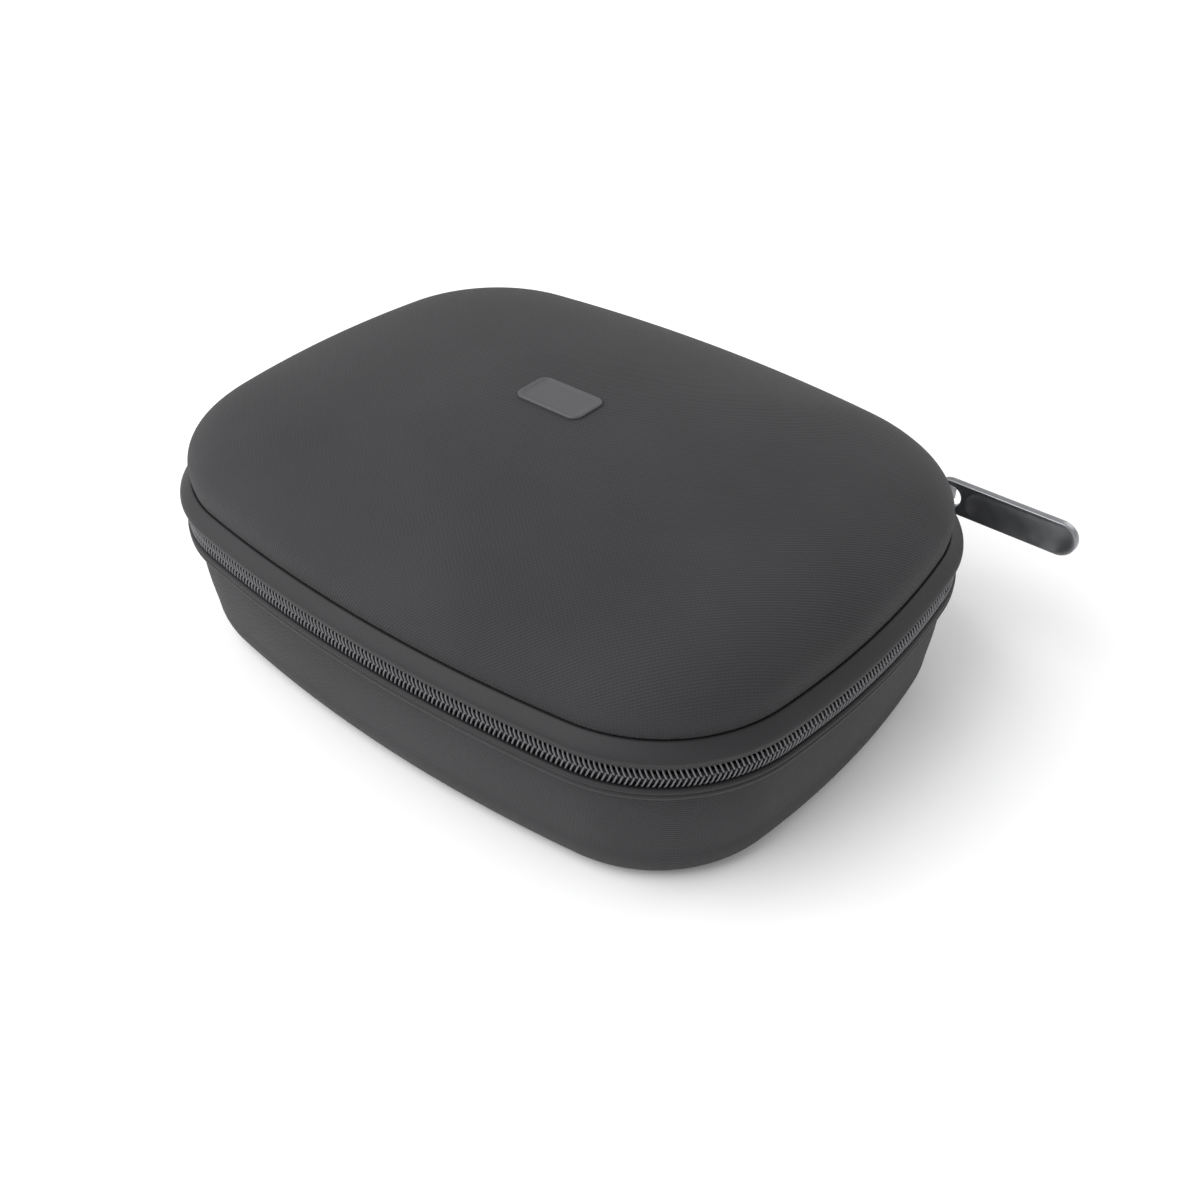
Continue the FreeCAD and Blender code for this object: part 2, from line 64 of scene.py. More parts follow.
def colour(code):
    """Linear colour, with alpha, of an sRGB hex code."""
    parts = [int(code[start:start + 2], 16) / 255 for start in (1, 3, 5)]
    linear = [part / 12.92 if part <= 0.04045 else ((part + 0.055) / 1.055) ** 2.4
              for part in parts]
    return (*linear, 1.0)


def node(tree, kind, inputs=None, **settings):
    """Add a node, set its properties, and fill its sockets with values or other nodes' outputs."""
    made = tree.nodes.new(kind)
    for setting, value in settings.items():
        setattr(made, setting, value)
    for socket, value in (inputs or {}).items():
        if isinstance(value, bpy.types.NodeSocket):
            tree.links.new(value, made.inputs[socket])
        else:
            made.inputs[socket].default_value = value
    return made


def new_material(name):
    """Empty node material; returns it with its tree."""
    material = bpy.data.materials.new(name)
    material.use_nodes = True
    material.node_tree.nodes.clear()
    return material, material.node_tree


def aim(item, target):
    """Turn a camera or light towards a point."""
    item.rotation_mode = "QUATERNION"
    item.rotation_quaternion = (target - item.location).to_track_quat("-Z", "Y")


view_back = Vector((math.sin(CAMERA_AZIMUTH) * math.cos(CAMERA_ELEVATION),
                    -math.cos(CAMERA_AZIMUTH) * math.cos(CAMERA_ELEVATION),
                    math.sin(CAMERA_ELEVATION)))
camera = bpy.data.objects.new("camera", bpy.data.cameras.new("camera"))
camera.location = CAMERA_TARGET + view_back * CAMERA_DISTANCE
camera.data.lens = CAMERA_LENS
camera.data.clip_start = 0.01
aim(camera, CAMERA_TARGET)
bpy.context.scene.collection.objects.link(camera)
bpy.context.scene.camera = camera
bpy.context.scene.view_settings.view_transform = "Standard"

# Name, place in metres, side of the panel in metres, power in watts.
LIGHTS = [("key", (-0.55, -0.75, 1.10), 1.5, 22.0),
          ("fill", (0.95, -0.60, 0.45), 0.8, 1.0),
          ("rim", (0.25, 1.05, 0.60), 0.7, 3.0)]
for label, place, side, power in LIGHTS:
    lamp = bpy.data.lights.new(label, "AREA")
    lamp.size = side
    lamp.energy = power
    holder = bpy.data.objects.new(label, lamp)
    holder.location = place
    aim(holder, Vector((0.0, 0.0, 0.04)))
    bpy.context.scene.collection.objects.link(holder)

world = bpy.data.worlds.new("studio")
world.use_nodes = True
world.node_tree.nodes["Background"].inputs["Color"].default_value = colour("#ffffff")
world.node_tree.nodes["Background"].inputs["Strength"].default_value = 0.66
bpy.context.scene.world = world

# Matt white laminate: a trace of mottling keeps it from looking like a void.
laminate, tree = new_material("matt white laminate")
spots = node(tree, "ShaderNodeNewGeometry").outputs["Position"]
mottle = node(tree, "ShaderNodeTexNoise", {"Vector": spots, "Scale": 30.0}).outputs["Fac"]
blend = node(tree, "ShaderNodeMix", {"Factor": mottle, "A": colour("#f6f6f6"),
                                     "B": colour("#f9f9f9")}, data_type="RGBA")
skin = node(tree, "ShaderNodeBsdfPrincipled", {"Base Color": blend.outputs["Result"],
                                               "Roughness": 0.9})
node(tree, "ShaderNodeOutputMaterial", {"Surface": skin.outputs["BSDF"]})
table = bpy.data.meshes.new("table")
half = TABLE_SIDE / 2
table.from_pydata([(x, y, -TABLE_DROP) for x, y in ((-half, -half), (half, -half),
                                                    (half, half), (-half, half))],
                  [], [(0, 1, 2, 3)])
table.materials.append(laminate)
floor = bpy.data.objects.new("floor", table)
bpy.context.scene.collection.objects.link(floor)

# ---------------------------------------------------------------- base cover
# The lower half's outer fabric: woven polyester laminated to foam and hot moulded, so it
# follows a flat floor, a large round foot and a wall that leans out towards the zipper.

CORNER_X, CORNER_Y, CORNER_R = 58.0, 31.0, 45.0
LONG_R, SHORT_R = 450.0, 260.0
ZIP = 40.0
SHORT_X = CORNER_X - math.sqrt((SHORT_R - CORNER_R) ** 2 - CORNER_Y ** 2)
LONG_Y = CORNER_Y - math.sqrt((LONG_R - CORNER_R) ** 2 - CORNER_X ** 2)
SHORT_TURN = math.atan2(CORNER_Y, CORNER_X - SHORT_X)
LONG_TURN = math.atan2(CORNER_Y - LONG_Y, CORNER_X)
HALF_TURNS = 7
ARC_TURNS = np.array([-SHORT_TURN, SHORT_TURN, LONG_TURN, np.pi - LONG_TURN])
KNOTS = (ARC_TURNS + np.pi * (np.arange(HALF_TURNS) - HALF_TURNS // 2)[:, None]).ravel()
ARC_RADII = np.tile([SHORT_R, CORNER_R, LONG_R, CORNER_R], HALF_TURNS)[:-1]
RUN = np.concatenate([[0.0], np.cumsum(ARC_RADII * np.diff(KNOTS))])
RUN -= np.interp(0.0, KNOTS, RUN)
FULL_TURN = 2 * np.pi
AROUND = 400


def outline(turn):
    """Plan outline at the widest line, in mm, as points and outward normals.

    Eight arcs meet tangentially, so a point is its arc's middle plus that arc's radius
    times the direction that the outline faces there.
    """
    across = np.mod(turn, np.pi)
    fold = np.minimum(across, np.pi - across)
    facing = np.stack([np.cos(turn), np.sin(turn)], -1)
    on_short, on_long = fold < SHORT_TURN, fold > LONG_TURN
    middle = np.stack([np.where(on_short, SHORT_X, np.where(on_long, 0.0, CORNER_X)),
                       np.where(on_short, 0.0, np.where(on_long, LONG_Y, CORNER_Y))], -1)
    radius = np.where(on_short, SHORT_R, np.where(on_long, LONG_R, CORNER_R))
    return np.sign(facing) * middle + radius[..., None] * facing, facing


def turns(start, end, count):
    """Directions from start to end, evenly spaced along the outline."""
    ends = np.interp([start, end], KNOTS, RUN)
    return np.interp(np.linspace(*ends, count), RUN, KNOTS)


def swept(turn, rows):
    """Profile carried round the outline, as a grid of points in metres.

    rows is (inset, height, share): a point steps inwards from the outline by inset, is
    drawn towards the middle by share, and stands at height.
    """
    rows = np.asarray(rows, float)
    if rows.ndim == 2:
        rows = np.repeat(rows[:, None, :], len(turn), axis=1)
    spots, facing = outline(turn)
    plan = (spots - rows[..., :1] * facing) * rows[..., 2:3]
    return np.concatenate([plan, rows[..., 1:2]], -1) * MM


def disc_weave(points):
    """Flat thread map of a moulded disc: distance over the surface from the nearer pole,
    laid out in the direction of the point as seen from above."""
    steps = np.linalg.norm(np.diff(points, axis=0), axis=-1)
    reach = np.concatenate([np.zeros((1, points.shape[1])), np.cumsum(steps, axis=0)])
    reach = np.minimum(reach, reach[-1] - reach)
    widest = points[np.argmax(np.linalg.norm(points[..., :2], axis=-1)[:, 0])]
    way = widest[:, :2] / np.linalg.norm(widest[:, :2], axis=-1, keepdims=True)
    weave = reach[..., None] * way
    return np.concatenate([weave, weave[:, :1]], axis=1)


def strip_weave(points, turn, closed_round):
    """Thread map of a band: length along the outline by length round the profile."""
    looped = np.concatenate([points, points[:1]])
    steps = np.linalg.norm(np.diff(looped, axis=0), axis=-1)[:, :1]
    rise = np.concatenate([[[0.0]], np.cumsum(steps, axis=0)])
    along = np.interp(turn, KNOTS, RUN) * MM
    if closed_round:
        along = np.append(along, np.interp(turn[0] + FULL_TURN, KNOTS, RUN) * MM)
    return np.stack(np.broadcast_arrays(along[None, :], rise), -1)


def add_piece(name, points, faces, corners, material, body, slot, stands_for):
    """Closed mesh object with a thread map, its material, body and CAD nodes; slot is not used."""
    mesh = bpy.data.meshes.new(name)
    mesh.from_pydata(points.reshape(-1, 3).tolist(), [], [list(face) for face in faces])
    layer = mesh.uv_layers.new(name="weave")
    layer.data.foreach_set("uv", np.asarray(corners, np.float32).ravel())
    work = bmesh.new()
    work.from_mesh(mesh)
    bmesh.ops.remove_doubles(work, verts=work.verts, dist=1e-7)
    bmesh.ops.recalc_face_normals(work, faces=work.faces)
    work.to_mesh(mesh)
    work.free()
    mesh.shade_smooth()
    mesh.materials.append(material)
    piece = bpy.data.objects.new(name, mesh)
    bpy.context.scene.collection.objects.link(piece)
    if body:
        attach(piece, body)
    if stands_for:
        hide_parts(*stands_for)
    return piece


def grid_piece(name, points, weave, loop_down, loop_round, *finish):
    """Piece from a grid of points; open ends of a strip get a flat cap."""
    down, across = points.shape[:2]
    row = np.arange(down if loop_down else down - 1)[:, None]
    column = np.arange(across if loop_round else across - 1)[None, :]
    row, column = [grid.ravel() for grid in np.broadcast_arrays(row, column)]
    steps = [(0, 0), (0, 1), (1, 1), (1, 0)]
    faces = np.stack([(row + r) % down * across + (column + c) % across
                      for r, c in steps], -1).tolist()
    corners = np.stack([weave[row + r, column + c] for r, c in steps], 1).reshape(-1, 2)
    if loop_down and not loop_round:
        for end in (0, across - 1):
            faces.append((np.arange(down) * across + end).tolist())
            corners = np.concatenate([corners, np.zeros((down, 2))])
    return add_piece(name, points, faces, corners, *finish)


def disc_piece(name, rows, *finish):
    """Closed moulded shell from a profile that runs from one pole to the other."""
    points = swept(turns(0.0, FULL_TURN, AROUND + 1)[:-1], rows)
    return grid_piece(name, points, disc_weave(points), False, True, *finish)


def band_piece(name, rows, *finish):
    """Ring with a closed section all round the case."""
    turn = turns(0.0, FULL_TURN, AROUND + 1)[:-1]
    points = swept(turn, rows)
    return grid_piece(name, points, strip_weave(points, turn, True), True, True, *finish)


def strip_piece(name, turn, rows, *finish):
    """Strip with a closed section along part of the outline, capped at its two ends."""
    points = swept(turn, rows)
    return grid_piece(name, points, strip_weave(points, turn, False), True, False, *finish)


def ring_rows(profile):
    """Section points (inset, height over the zipper) as full rows."""
    return [(inset, ZIP + height, 1.0) for inset, height in profile]


WALL_INSET, WALL_LEAN = 3.0, 1.6
FOOT_WIDTH, FOOT_HEIGHT = 7.0, 11.3
WALL_TOP = ZIP - 6.8
WALL_BELLY = 0.5
COVER = 0.8
FOOT_STEPS, WALL_STEPS, FLOOR_STEPS = 14, 12, 10


def base_rows(depth, belly=0.0):
    """Base profile from the middle of the floor to the top of the wall.

    A flat floor, a quarter-ellipse foot, then a wall that leans out in a straight line
    with a half-sine belly on it.
    """
    angle = np.linspace(np.pi / 2, 0.0, FOOT_STEPS)
    rise = np.linspace(0.0, 1.0, WALL_STEPS)[1:]
    floor_share = np.linspace(0.0, 1.0, FLOOR_STEPS)[:-1]
    foot_top = depth + FOOT_HEIGHT
    inset = np.concatenate([np.full(FLOOR_STEPS - 1, FOOT_WIDTH),
                            FOOT_WIDTH * (1 - np.cos(angle)),
                            -WALL_LEAN * rise - belly * np.sin(np.pi * rise)])
    height = np.concatenate([np.full(FLOOR_STEPS - 1, depth),
                             depth + FOOT_HEIGHT * (1 - np.sin(angle)),
                             foot_top + (WALL_TOP - foot_top) * rise])
    share = np.ones(len(inset))
    share[:FLOOR_STEPS - 1] = floor_share
    return np.stack([inset + WALL_INSET + WALL_LEAN + depth, height, share], -1)


def shell_rows(profile, near, far, **near_shape):
    """Profile of a closed shell between two depths under the outer face."""
    return np.concatenate([profile(near, **near_shape), profile(far)[::-1]])


def woven(name, light, dark, pitch, tilt, relief, roughness, sheen, cross=0.45):
    """Woven or knitted cloth: thread ridges along two directions of the thread map, with
    uneven dye and a soft fibre sheen.  pitch is the thread spacing in mm."""
    material, tree = new_material(name)
    wave_scale = FULL_TURN / (20.0 * pitch * MM)
    threads = node(tree, "ShaderNodeUVMap", uv_map="weave").outputs["UV"]
    wander = node(tree, "ShaderNodeTexNoise", {"Vector": threads, "Scale": 90.0,
                                               "Detail": 1.0}).outputs["Color"]
    bent = node(tree, "ShaderNodeVectorMath", {0: wander, 1: (0.00035,) * 3, 2: threads},
                operation="MULTIPLY_ADD").outputs["Vector"]
    laid = node(tree, "ShaderNodeMapping", {"Vector": bent,
                                            "Rotation": (0.0, 0.0, math.radians(tilt))})
    warp = node(tree, "ShaderNodeTexWave", {"Vector": laid.outputs["Vector"],
                                            "Scale": wave_scale}).outputs["Fac"]
    weft = node(tree, "ShaderNodeTexWave", {"Vector": laid.outputs["Vector"],
                                            "Scale": wave_scale * 0.8},
                bands_direction="Y").outputs["Fac"]
    crossed = node(tree, "ShaderNodeMath", {0: weft, 1: cross, 2: warp},
                   operation="MULTIPLY_ADD").outputs["Value"]
    spot = node(tree, "ShaderNodeTexCoord").outputs["Object"]
    dye = node(tree, "ShaderNodeTexNoise", {"Vector": spot, "Scale": 24.0,
                                            "Detail": 3.0}).outputs["Fac"]
    tone = node(tree, "ShaderNodeMath", {0: crossed, 1: 0.5, 2: dye},
                operation="MULTIPLY_ADD").outputs["Value"]
    spread = node(tree, "ShaderNodeMapRange", {"Value": tone, "From Min": 0.35,
                                               "From Max": 1.35}).outputs["Result"]
    dyed = node(tree, "ShaderNodeMix", {"Factor": spread, "A": colour(dark),
                                        "B": colour(light)}, data_type="RGBA")
    ridges = node(tree, "ShaderNodeBump", {"Height": crossed, "Strength": relief,
                                           "Distance": pitch * MM * 0.3})
    cloth = node(tree, "ShaderNodeBsdfPrincipled",
                 {"Base Color": dyed.outputs["Result"], "Roughness": roughness,
                  "Sheen Weight": sheen, "Sheen Roughness": 0.45,
                  "Specular IOR Level": 0.3, "Normal": ridges.outputs["Normal"]})
    node(tree, "ShaderNodeOutputMaterial", {"Surface": cloth.outputs["BSDF"]})
    return material


# Woven polyester twill: matt, with fine diagonal ridges.  Real threads are about 0.35 mm
# apart; they are drawn 0.75 mm apart, the finest that still shows.
TWILL_PITCH = 0.75
twill = woven("woven polyester twill", "#353537", "#262628", TWILL_PITCH, 38.0,
              0.4, 0.8, 0.05)
disc_piece("base_cover_fabric", shell_rows(base_rows, 0.0, COVER, belly=WALL_BELLY),
           twill, "base", "outer_fabric", ["base_cover"])

# ---------------------------------------------------------------- base foam
# Hot-moulded EVA foam, 3 mm thick, between the outer fabric and the lining.  It shows
# only as a thin edge if the case is taken apart.

FOAM_NEAR, FOAM_FAR = 0.85, 3.75


def eva_foam():
    """Closed-cell EVA: matt, with a fine cellular grain from the mould."""
    material, tree = new_material("moulded eva foam")
    spot = node(tree, "ShaderNodeTexCoord").outputs["Object"]
    cells = node(tree, "ShaderNodeTexVoronoi", {"Vector": spot, "Scale": 1400.0})
    dust = node(tree, "ShaderNodeMix", {"Factor": cells.outputs["Distance"],
                                        "A": colour("#2b2b2c"), "B": colour("#3a3a3b")},
                data_type="RGBA")
    grain = node(tree, "ShaderNodeBump", {"Height": cells.outputs["Distance"],
                                          "Strength": 0.3, "Distance": 0.0002})
    foam = node(tree, "ShaderNodeBsdfPrincipled",
                {"Base Color": dust.outputs["Result"], "Roughness": 0.9,
                 "Normal": grain.outputs["Normal"]})
    node(tree, "ShaderNodeOutputMaterial", {"Surface": foam.outputs["BSDF"]})
    return material


foam = eva_foam()
base_foam = disc_piece("base_foam_shell", shell_rows(base_rows, FOAM_NEAR, FOAM_FAR),
                       foam, "base", "foam_shell", ["base_shell"])

# ---------------------------------------------------------------- base lining
# Brushed knit lining bonded to the inside of the foam, soft so that it doesn't scratch
# what is carried.  Its pile hides the knit except as a faint cross pattern.

LINING_NEAR, LINING_FAR = 3.8, 4.8
# Brushed polyester knit: very matt, with a stronger sheen than the outer cloth.
knit = woven("brushed polyester knit", "#4a4a4d", "#39393b", 1.1, 0.0, 0.35, 0.95, 0.35)
disc_piece("base_lining_knit", shell_rows(base_rows, LINING_NEAR, LINING_FAR),
           knit, "base", "lining_fabric", ["base_lining"])

# ---------------------------------------------------------------- lower lip
# A strip of smooth coated fabric folded over the shell's edge.  A thin welt stands up
# against the zipper, then the strip rolls under and meets the base wall.

TAPE_FACE = 3.1
LOWER_LIP = [(TAPE_FACE, -6.8), (2.0, -6.95), (1.5, -6.8), (1.0, -6.4), (0.7, -5.9),
             (0.6, -5.4), (0.75, -5.0), (1.05, -4.8), (1.05, -4.65), (0.75, -4.5),
             (0.58, -4.2), (0.55, -3.9), (0.62, -3.55), (0.9, -3.28), (1.3, -3.2),
             (TAPE_FACE, -3.2)]

# Coated polyester: closely woven, smoother and a little shinier than the twill.
coated = woven("coated polyester", "#2b2b2d", "#212123", 0.55, 0.0, 0.12, 0.58, 0.03)
band_piece("lower_lip_fabric", ring_rows(LOWER_LIP), coated, "base", "rim_fabric",
           ["base_rim_band"])

# ---------------------------------------------------------------- zipper tapes
# Woven tape behind each row of coil, sewn under the lip and the rim band.  It is open at
# the back, where the cloth hinge takes over.

TAPE_BACK = 3.9
TAPE_INNER, LOWER_TAPE_END, UPPER_TAPE_END = 0.6, 6.8, 6.0
ZIP_END_X, COIL_END_X = 61.0, 65.0
TAPE_POINTS, TAPE_EDGE = 420, 0.15


def back_turn(place_x, inset):
    """Direction of the outline where its back right part, set in, reaches place_x: on the
    long arc where that arc reaches so far, and on the corner arc beyond it."""
    on_long = math.acos(place_x / (LONG_R - inset))
    return on_long if on_long > LONG_TURN else math.acos((place_x - CORNER_X) / (CORNER_R - inset))


def run_turns(place_x, inset, count):
    """Directions from the back right round the front to the back left."""
    start = back_turn(place_x, inset)
    return turns(start, -np.pi - start, count)


def tape_rows(low, high):
    """Flat section of a tape with its edges eased."""
    return ring_rows([(TAPE_FACE, low + TAPE_EDGE), (TAPE_FACE, high - TAPE_EDGE),
                      (TAPE_FACE + TAPE_EDGE, high), (TAPE_BACK - TAPE_EDGE, high),
                      (TAPE_BACK, high - TAPE_EDGE), (TAPE_BACK, low + TAPE_EDGE),
                      (TAPE_BACK - TAPE_EDGE, low), (TAPE_FACE + TAPE_EDGE, low)])


# Woven polyester zipper tape: dark herringbone ribs along its length.
tape_cloth = woven("zipper tape", "#2a2a2b", "#1b1b1c", 0.8, 20.0, 0.5, 0.85, 0.05)
tape_run = run_turns(ZIP_END_X, TAPE_BACK, TAPE_POINTS)
strip_piece("lower_tape_weave", tape_run, tape_rows(-LOWER_TAPE_END, -TAPE_INNER),
            tape_cloth, "base", "zip_tape", ["lower_zip_tape"])
strip_piece("upper_tape_weave", tape_run, tape_rows(TAPE_INNER, UPPER_TAPE_END),
            tape_cloth, "lid", "zip_tape", ["upper_zip_tape"])

# ---------------------------------------------------------------- zipper coils
# Size 5 nylon coil: one continuous filament wound into slanted loops and sewn to each
# tape.  The heads of the two halves meet along the middle, half a pitch apart.

TOOTH_PITCH = 1.36
TOOTH_SLANT = 1.15
TOOTH_RADIUS = 0.27
TOOTH_SIDES = 6
COIL_INSET = 0.9
HEAD_REACH = 0.12
HEAD_FREE, HEAD_TUCK = 0.42, 0.4
SLIDER_ZONE = (math.radians(8.0), math.radians(84.0))
NOTCH = (math.radians(58.5), math.radians(84.5))
# Height from the middle, depth behind the coil's face, share of the filament's radius.
TOOTH_SPINE = [(3.1, 1.9, 0.9), (2.75, 0.75, 1.0), (2.0, 0.40, 1.0), (1.1, 0.36, 1.0),
               (0.45, 0.38, 1.2), (0.0, 0.6, 1.0)]


# Extruded nylon monofilament: smooth and a little glossy, so each loop catches a line of
# light; fine noise stands for the scuffs of use.
nylon, tree = new_material("nylon monofilament")
spot = node(tree, "ShaderNodeTexCoord").outputs["Object"]
scuff = node(tree, "ShaderNodeTexNoise", {"Vector": spot, "Scale": 700.0}).outputs["Fac"]
tint = node(tree, "ShaderNodeMix", {"Factor": scuff, "A": colour("#4c4c4e"),
                                    "B": colour("#6c6c70")}, data_type="RGBA")
wear = node(tree, "ShaderNodeBump", {"Height": scuff, "Strength": 0.15, "Distance": 0.0001})
skin = node(tree, "ShaderNodeBsdfPrincipled",
            {"Base Color": tint.outputs["Result"], "Roughness": 0.38, "IOR": 1.53,
             "Normal": wear.outputs["Normal"]})
node(tree, "ShaderNodeOutputMaterial", {"Surface": skin.outputs["BSDF"]})


def tube_faces(count, rings, sides):
    """Faces of copied tubes: walls between their rings, and a cap on each end."""
    ring, edge = [grid.ravel() for grid in
                  np.broadcast_arrays(np.arange(rings - 1)[:, None], np.arange(sides)[None, :])]
    following = (edge + 1) % sides
    walls = np.stack([ring * sides + edge, ring * sides + following,
                      (ring + 1) * sides + following, (ring + 1) * sides + edge], -1)
    caps = np.array([np.arange(sides), np.arange(sides) + (rings - 1) * sides])
    first = np.arange(count)[:, None, None] * rings * sides
    return (first + walls).reshape(-1, 4).tolist() + (first + caps).reshape(-1, sides).tolist()


def coil_teeth(name, side, phase, skipped, body, stands_for):
    """Row of loops: a round section carried up a bent spine that leans along the zipper,
    copied at every pitch of the outline.  side is 1 above the middle and -1 below it."""
    start, end = [np.interp(turn, KNOTS, RUN) for turn in
                  (back_turn(COIL_END_X, COIL_INSET),
                   -np.pi - back_turn(COIL_END_X, COIL_INSET))]
    steps = np.arange(math.floor((start - end) / TOOTH_PITCH)) + phase
    turn = np.interp(start - steps * TOOTH_PITCH, RUN, KNOTS)
    if skipped:
        turn = turn[(turn < skipped[0]) | (turn > skipped[1])]
    spots, facing = outline(turn)
    path = np.stack([facing[:, 1], -facing[:, 0]], -1)
    spine = np.array(TOOTH_SPINE)
    free = (turn > SLIDER_ZONE[0]) & (turn < SLIDER_ZONE[1])
    tip = np.where(free, HEAD_FREE + TOOTH_RADIUS * HEAD_TUCK, -HEAD_REACH)[:, None]
    top = spine[0, 0]
    height = tip + (top - tip) * spine[None, :, 0] / top
    slant = TOOTH_SLANT * (height - top / 2) / top
    angle = np.arange(TOOTH_SIDES) * FULL_TURN / TOOTH_SIDES
    thick = (TOOTH_RADIUS * spine[:, 2])[None, :, None]
    along = slant[..., None] + thick * np.cos(angle)
    inset = COIL_INSET + spine[None, :, 1, None] + thick * np.sin(angle)
    inset = np.broadcast_to(inset, along.shape)
    plan = (spots[:, None, None] - inset[..., None] * facing[:, None, None]
            + along[..., None] * path[:, None, None])
    level = np.broadcast_to((ZIP + side * height)[..., None], along.shape)
    points = np.concatenate([plan, level[..., None]], -1) * MM
    faces = tube_faces(len(turn), len(spine), TOOTH_SIDES)
    corners = np.zeros((sum(len(face) for face in faces), 2))
    return add_piece(name, points, faces, corners, nylon, body, "zip_coil", stands_for)


coil_teeth("lower_coil_teeth", -1, 0.75, None, "base", ["lower_zip_coil"])
coil_teeth("upper_coil_teeth", 1, 0.25, NOTCH, "lid", ["upper_zip_coil"])

# ---------------------------------------------------------------- lid cover
# The same twill, moulded into a pillow-like dome.  Its edge is tucked into a narrow
# crease, above which the wall swells out a little before it rounds over.

CREASE_INSET, CREASE = 4.2, 9.6
# The CAD's dome ends in a flat crown; this one closes at about the same height, so its
# rise is a little less.
DOME_RISE, DOME_FULLNESS = 27.75, 0.61
DOME_SWELL, SWELL_HEIGHT = 0.7, 13.0
DOME_STEPS, DOME_CROWDING = 46, 2.0


def dome_rows(depth, swell=0.0):
    """Dome profile from the pole down to the crease.

    At angle a the outline is scaled by cos a and stands at the crease plus the rise times
    sin a to a power; the lowest part swells out by a half sine.
    """
    angle = np.linspace(1.0, 0.0, DOME_STEPS) ** DOME_CROWDING * np.pi / 2
    lift = (DOME_RISE - depth) * np.sin(angle) ** DOME_FULLNESS
    out = swell * np.sin(np.pi * np.clip(lift / SWELL_HEIGHT, 0.0, 1.0))
    return np.stack([CREASE_INSET + depth - out, ZIP + CREASE + lift, np.cos(angle)], -1)


disc_piece("lid_cover_fabric", shell_rows(dome_rows, 0.0, COVER, swell=DOME_SWELL),
           twill, "lid", "outer_fabric", ["lid_cover"])

# ---------------------------------------------------------------- lid foam
# The lid's EVA foam dome, the same sheet and mould process as the base's.

lid_foam = disc_piece("lid_foam_shell", shell_rows(dome_rows, FOAM_NEAR, FOAM_FAR),
                      foam, "lid", "foam_shell", ["lid_shell"])

# ---------------------------------------------------------------- lid lining
# The same brushed knit as in the base, bonded to the inside of the dome.

disc_piece("lid_lining_knit", shell_rows(dome_rows, LINING_NEAR, LINING_FAR),
           knit, "lid", "lining_fabric", ["lid_lining"])

# ---------------------------------------------------------------- lid rim band
# Smooth coated fabric that flares out from the crease to a rounded fold over the zipper.
# At the parked slider its lower edge is raised, so that the lid can lift past it.

WALL_DEPTH = 4.8
RIM_BAND = [(TAPE_FACE, 3.2), (1.35, 3.2), (1.0, 3.35), (0.85, 3.7), (0.8, 4.2),
            (0.62, 4.65), (0.25, 5.05), (0.03, 5.5), (0.1, 6.0), (0.55, 6.7), (1.2, 7.4),
            (1.95, 8.1), (2.7, 8.75), (3.3, 9.25), (3.62, 9.42), (3.9, 9.38),
            (4.05, 9.15), (4.4, 9.0), (CREASE_INSET + WALL_DEPTH, 9.0), (8.0, 8.2),
            (TAPE_FACE, 6.0)]
NOTCH_TOP, NOTCH_EASE = 5.25, math.radians(2.5)


def rim_rows(turn):
    """Rim band section all round, its lower points lifted to the notch's top beside the
    parked slider, with a smooth step at both ends."""
    rows = np.repeat(np.array(ring_rows(RIM_BAND))[:, None, :], len(turn), axis=1)
    into = np.clip((turn - NOTCH[0]) / NOTCH_EASE + 1, 0, 1)
    out = np.clip((NOTCH[1] - turn) / NOTCH_EASE + 1, 0, 1)
    share = np.minimum(into, out)
    share = share * share * (3 - 2 * share)
    lifted = np.maximum(rows[..., 1], ZIP + NOTCH_TOP)
    rows[..., 1] += share * (lifted - rows[..., 1])
    return rows


rim_turn = turns(0.0, FULL_TURN, AROUND * 2 + 1)[:-1]
rim_points = swept(rim_turn, rim_rows(rim_turn))
grid_piece("lid_rim_fabric", rim_points, strip_weave(rim_points, rim_turn, True), True, True,
           coated, "lid", "rim_fabric", ["lid_rim_band"])

# ---------------------------------------------------------------- badge
# A plain soft-rubber plate bonded to the middle of the lid, with eased edges and a
# shallow field inside a raised border.

BADGE_LENGTH, BADGE_WIDTH, BADGE_CORNER = 22.0, 13.0, 3.0
BADGE_FOOT, BADGE_TOP, BADGE_FIELD = 77.1, 78.05, 0.22
BADGE_ROUND = 96
# Inset from the plate's edge and height of each ring, from the foot to the field.
BADGE_RINGS = [(0.0, BADGE_FOOT), (0.0, BADGE_TOP - 0.35), (0.12, BADGE_TOP - 0.12),
               (0.35, BADGE_TOP), (1.1, BADGE_TOP), (1.3, BADGE_TOP - BADGE_FIELD),
               (2.6, BADGE_TOP - BADGE_FIELD)]


def plate_ring(length, width, corner, inset, count):
    """Rounded rectangle: each point is its corner's middle plus the reduced radius times
    the direction that the edge faces."""
    turn = (np.arange(count) + 0.5) * FULL_TURN / count
    facing = np.stack([np.cos(turn), np.sin(turn)], -1)
    middle = np.sign(facing) * np.array([length / 2 - corner, width / 2 - corner])
    return middle + facing * (corner - inset)


# Satin silicone rubber: fine moulded grain, a shade lighter than the cloth.
rubber, tree = new_material("satin silicone rubber")
spot = node(tree, "ShaderNodeTexCoord").outputs["Object"]
grain = node(tree, "ShaderNodeTexNoise", {"Vector": spot, "Scale": 2500.0}).outputs["Fac"]
tint = node(tree, "ShaderNodeMix", {"Factor": grain, "A": colour("#47474a"),
                                    "B": colour("#505053")}, data_type="RGBA")
mould = node(tree, "ShaderNodeBump", {"Height": grain, "Strength": 0.2, "Distance": 0.0001})
skin = node(tree, "ShaderNodeBsdfPrincipled",
            {"Base Color": tint.outputs["Result"], "Roughness": 0.5, "IOR": 1.41,
             "Normal": mould.outputs["Normal"]})
node(tree, "ShaderNodeOutputMaterial", {"Surface": skin.outputs["BSDF"]})

